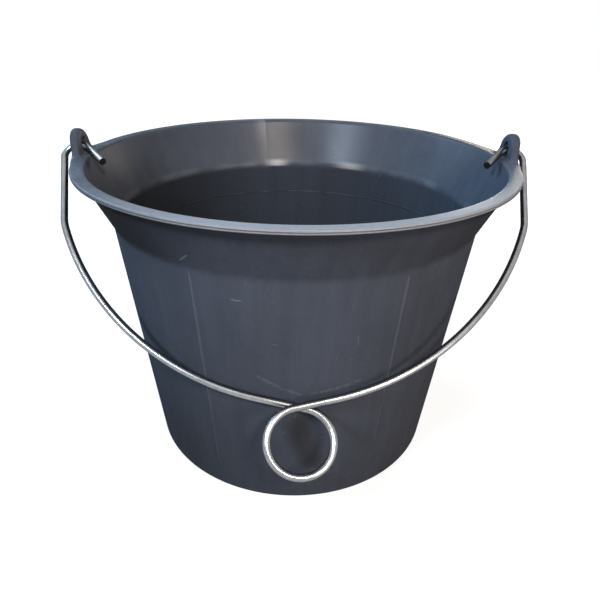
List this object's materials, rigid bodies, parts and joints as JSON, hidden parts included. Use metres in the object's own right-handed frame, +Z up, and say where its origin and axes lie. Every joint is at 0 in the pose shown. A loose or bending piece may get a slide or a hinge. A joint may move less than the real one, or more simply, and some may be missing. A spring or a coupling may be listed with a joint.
{
  "type": "plastic bucket",
  "caption": "Tapered plastic bucket with a flared mouth, a flat lip with ears, and a swinging wire bail bent into a ring at its middle for lifting and carrying.",
  "frame": {"origin": "centre of the base, on the surface that the bucket stands on", "axes": "+Z up along the bucket's axis, +X through the right ear along the bail's hinge line, -Y towards the side where the bail hangs"},
  "size_m": [0.3378, 0.3231, 0.2446],
  "materials": {
    "plastic": "satin dark blue-grey moulded polyethylene",
    "wire": "bright zinc-coated drawn steel wire"
  },
  "bodies": {
    "bucket": {"bucket_body": "plastic"},
    "bail": {"wire_bail": "wire"}
  },
  "joints": [
    {"name": "bail_swing", "type": "hinge", "parent": "bucket", "child": "bail", "pos_m": [0, 0, 0.233], "axis": [-1, 0, 0], "range_deg": [0, 220]}
  ]
}
